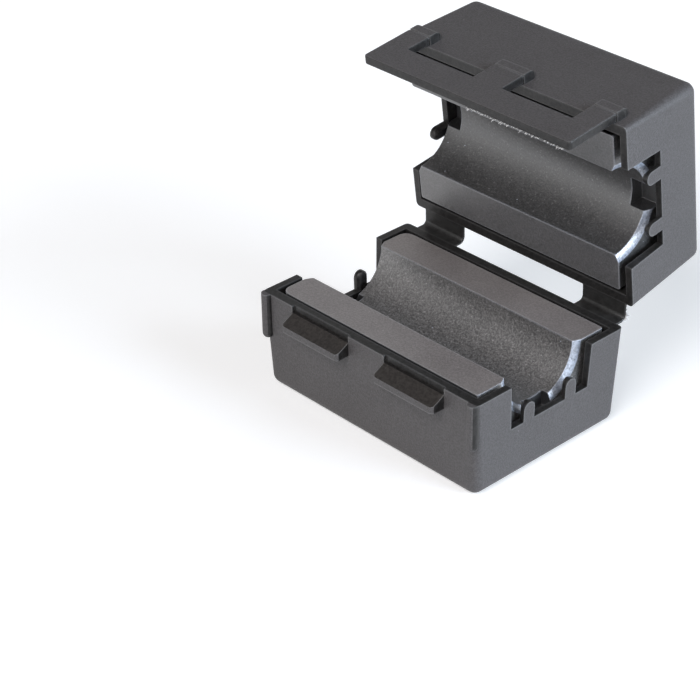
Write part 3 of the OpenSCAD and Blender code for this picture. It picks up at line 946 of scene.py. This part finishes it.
def fringe(name, route, outwards, length, seed):
    """Thin flakes along an edge. Few are as long as the length, the odd one a third longer."""
    dice = random.Random(seed)
    outwards = Vector(outwards)
    bm = bmesh.new()
    for start, end in zip(route, route[1:]):
        run = (Vector(end) - Vector(start)).normalized()
        thick = run.cross(outwards) * FLAKE_T
        spot = 0.0
        while spot < (Vector(end) - Vector(start)).length:
            width = dice.uniform(*FLAKE_WIDTHS)
            reach = length * dice.uniform(*FLAKE_LENGTHS) ** SHORTENING
            root = Vector(start) + run * spot
            tip = root + run * width * dice.uniform(*FLAKE_LEANS) + outwards * reach
            sides = [[bm.verts.new(point + side * thick) for point in (
                root - outwards * FLAKE_ROOT, root + run * width - outwards * FLAKE_ROOT, tip)]
                for side in (-1, 1)]
            bm.faces.new(sides[0])
            bm.faces.new(reversed(sides[1]))
            for i in range(3):
                j = (i + 1) % 3
                bm.faces.new((sides[0][j], sides[0][i], sides[1][i], sides[1][j]))
            spot += width * dice.uniform(*FLAKE_STEPS) ** CROWDING
    return to_piece(name, bm, looks=1)


# %% Flash on the flap's free edge
FLASH_START, FLASH_IN, FLASH_UP = 0.4, 0.06, 0.02      # from the middle, and into the edge
FLASH_LEAN = (0, 0.15, -0.99)            # down, and a little towards the wall
flash_edge = [(x, FLASH_IN - flap_in, bar_low + FLASH_UP)
              for x in (FLASH_START, flap_end - FLAP_CORNER)]
flap_flash = fringe("flash", flash_edge, FLASH_LEAN, length=0.34, seed=7)
fit(flap_flash, "flap_flash", upper_place, "latch", [torn_nylon])

# %% [markdown]
# ## Film hinges and straps
#
# Two kinds of thin nylon bend in this part: a film at the root of each flap arm, and the two
# straps that join the halves. Neither can ride on one body, because its two ends move apart.
# Each is swept as a thin ribbon along its rest shape, in enough short steps that it can bend, and
# is left in its place as plain mesh, on neither body. The films are drawn thicker than real ones,
# so that the fold stays closed when the flap is swung out and seen from its side.

# %% A ribbon along a path
FLARE_STEPS, FLARE_THICK = 3, 0.3        # how many steps a root flares over, and how much thicker
RIBBON_SIDE = 0.5                        # how far a face's normal points along X
ROUND_EDGE = tuple(math.radians(turn) for turn in (-90, -45, 0, 45, 90))


def ribbon(name, path, half_width, thickness, middle, flare=0.0, look=INSIDE):
    """A strip with round edges along a path of (y, z) points. Its ends may flare at their roots."""
    rings = []
    count = len(path) - 1
    for i, (y, z) in enumerate(path):
        before, after = path[max(i - 1, 0)], path[min(i + 1, count)]
        run = Vector((after[0] - before[0], after[1] - before[1])).normalized()
        across = Vector((-run.y, run.x))
        root = max(0.0, 1 - min(i, count - i) / FLARE_STEPS) ** 2
        half, t = half_width + flare * root, thickness / 2 + FLARE_THICK * flare * root
        ring = [(half - t + t * math.cos(a), t * math.sin(a)) for a in ROUND_EDGE]
        ring += [(-x, -h) for x, h in ring]
        rings.append([Vector((middle + x, y + h * across.x, z + h * across.y)) for x, h in ring])
    strip = loft(name, rings, look)
    return paint(strip, INSIDE, lambda face: abs(face.normal.x) > RIBBON_SIDE)


def bend_between(piece, name, place, finishes, replaced=()):
    """A dressed piece in its place, made plain mesh in metres, riding on no body."""
    dress(piece, name, place, finishes, replaced)
    settle(piece)
    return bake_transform(piece)


# %% Film hinges
FILM_T, FILM_REACH, FILM_STEPS = 0.6, 0.12, 8
FILM_SET, RIBBON_INSET = 0.03, 0.05      # how far a film lies behind the flap's face, and its sides
film_y = FILM_SET + FILM_T / 2 - flap_out
for name, middle, width in (("film_left", -arm_x, ARM_W), ("film_middle", 0, MIDDLE_ARM_W),
                            ("film_right", arm_x, ARM_W)):
    half = FOLD_GAP / 2 + FILM_REACH
    route = [(film_y, FOLD_H + half * (1 - 2 * i / FILM_STEPS)) for i in range(FILM_STEPS + 1)]
    film = ribbon(name, route, width / 2 - RIBBON_INSET, FILM_T, middle, look=OUTSIDE)
    bend_between(film, name, upper_place,
                 [grained_nylon, polished_nylon_painted_shade])

# %% Path of the straps
STRAP_W, STRAP_T, STRAP_DROP, STRAP_BEND, STRAP_INSET = 6.2, 0.35, 0.28, 0.5, 4.25
ROOT_DEPTH, STRAIGHT_STEPS, BEND_STEPS = 0.2, 8, 10
STRAP_FLARE = 0.2                        # how much wider each side gets at a root
strap_x = end_x - STRAP_INSET


def on_open_lid(y, z):
    """Where a point of the shut lid lies with the lid open, both above the mating plane."""
    dy, dz = y - hinge_y, z - (hinge_z - mating_z)
    cos, sin = math.cos(OPEN_ANGLE), math.sin(OPEN_ANGLE)
    return (hinge_y + dy * cos + dz * sin, hinge_z - mating_z - dy * sin + dz * cos)


strap_z = -STRAP_DROP - STRAP_T / 2
bend_centre = (hinge_y - STRAP_BEND, STRAP_BEND - STRAP_DROP)
strap_path = [
    (side_y - ROOT_DEPTH + (bend_centre[0] - side_y + ROOT_DEPTH) * i / STRAIGHT_STEPS, strap_z)
    for i in range(STRAIGHT_STEPS)]
strap_path += arc(bend_centre, STRAP_BEND + STRAP_T / 2, -90, 0, BEND_STEPS)
lid_root = on_open_lid(side_y - ROOT_DEPTH, -strap_z)
strap_path += [(strap_path[-1][0] + (lid_root[0] - strap_path[-1][0]) * i / STRAIGHT_STEPS,
                bend_centre[1] + (lid_root[1] - bend_centre[1]) * i / STRAIGHT_STEPS)
               for i in range(1, STRAIGHT_STEPS + 1)]
print("strap path:", len(strap_path), "points")

# %% Straps
for name, middle in (("left", -strap_x), ("right", strap_x)):
    strap = ribbon("strap", strap_path, STRAP_W / 2 - RIBBON_INSET, STRAP_T, middle,
                   flare=STRAP_FLARE)
    bend_between(strap, "strap_" + name, lower_place,
                 [grained_nylon, strap_nylon], ["hinge_strap_" + name])

# %% Frayed edge of the right strap
FRAYED = slice(9, 23)                    # the points of the path that the fray runs along
frayed_x = strap_x + STRAP_W / 2 - FLAKE_ROOT
strap_fray = fringe("fray", [(frayed_x, y, z) for y, z in strap_path[FRAYED]], (1, 0, 0),
                    length=0.5, seed=11)
bend_between(strap_fray, "strap_fray", lower_place,
             [torn_nylon])

# %% [markdown]
# ## Ferrite halves
#
# A ferrite half is pressed from powder and sintered, and only its mating face is ground. Its
# upright corners are nearly sharp, but for the lower half's far end, where they are round. Its
# channel has a wide bevel at each mouth, and a notch in its bottom at each end. The profile across
# the channel is extruded and trimmed to its plan, and then the notches and the mouths are cut into
# it. The bevels are cones that share the bore's steps, so that their edges meet cleanly.

# %% Sizes of the ferrite
BORE = 5.15                              # radius
MOUTH_BEVEL, MOUTH_DEPTH = 0.85, 0.45    # of the bevel at a mouth: outwards, and along the bore
CORE_CORNER, FAR_CORNER, FACE_GAP = 0.3, 1.2, 0.1
NOTCH_W, NOTCH_DEPTH = 3.2, 1.5
ROUND_STEP = 3.75                        # degrees; the bore and its mouths share their steps
INTO_BORE = 0.2                          # how much deeper the cone of a mouth starts
SIDE_BAND = 0.05                         # faces nearer than this to a side take the painted shade
print("channel:", 2 * BORE, "across, ferrite:", round(2 * core_x, 2), round(2 * core_y, 2))


# %% A ferrite half
def ferrite_half(notch_len, notch_shift, far_corner):
    """One half, with the length and place of its notches and the radius of its corners at -X."""
    top, floor_z = -FACE_GAP / 2, -FACE_GAP / 2 - core_depth
    lip = math.sqrt(BORE ** 2 - top ** 2)
    side = core_y + PAST
    profile = [(-side, floor_z), (side, floor_z), (side, top), (lip, top)]
    profile += arc((0, 0), BORE, -ROUND_STEP, ROUND_STEP - 180, round(180 / ROUND_STEP) - 2)
    profile += [(-lip, top), (-side, top)]
    core = along("x", profile, -core_x - PAST, core_x + PAST)
    outline = []
    for quarter, (sign_x, sign_y) in enumerate(QUARTERS):
        radius = CORE_CORNER if sign_x > 0 else far_corner
        outline += arc((sign_x * (core_x - radius), sign_y * (core_y - radius)), radius,
                       90 * quarter, 90 * quarter + 90, CORNER_STEPS)
    combine(core, "INTERSECT", [along("z", outline, floor_z - PAST, PAST)])

    def mouth():
        """A cone that cuts the bevel at +X."""
        rings = []
        for x in (core_x - MOUTH_DEPTH - INTO_BORE, core_x + PAST):
            radius = BORE + (x - core_x + MOUTH_DEPTH) * MOUTH_BEVEL / MOUTH_DEPTH
            circle = arc((0, 0), radius, 0, 360, round(360 / ROUND_STEP))[:-1]
            rings.append([Vector((x, y, z)) for y, z in circle])
        return loft("mouth", rings, EXTRA)

    def notch():
        """A box that cuts the notch at +X."""
        return block((core_x - notch_len, notch_shift - NOTCH_W / 2, -BORE - NOTCH_DEPTH),
                     (core_x + PAST, notch_shift + NOTCH_W / 2, 0), PAINTED_SHADE)

    combine(core, "DIFFERENCE", both_ends(notch) + both_ends(mouth))
    # faces near a side, like the notches, take the painted shade of the case
    paint(core, PAINTED_SHADE, lambda face: abs(face.center.y) > core_y - SIDE_BAND)
    return paint(core, OUTSIDE, lambda face: face.center.z > top - NEAR)


# %% The two ferrite halves in their places
lower_ferrite = ferrite_half(notch_len=1.3, notch_shift=0, far_corner=FAR_CORNER)
soften(lower_ferrite, FERRITE_RADIUS)
fit(lower_ferrite, "lower_ferrite", lower_place @ Matrix.Translation((0, core_shift, 0)), "lower",
    [ground_warm, pressed_warm, mouth_painted_highlight, painted_shade_ferrite], ["lower_core"])

SLID = 0.35                              # how far the upper half lies along its pocket
upper_ferrite = ferrite_half(notch_len=2.3, notch_shift=0.5, far_corner=CORE_CORNER)
soften(turned(upper_ferrite, turned_over), FERRITE_RADIUS)
fit(upper_ferrite, "upper_ferrite", upper_place @ Matrix.Translation((-SLID, 0, 0)), "upper",
    [ground_painted_shade, pressed_painted_shade, mouth_painted_highlight, painted_shade_ferrite], ["upper_core"])
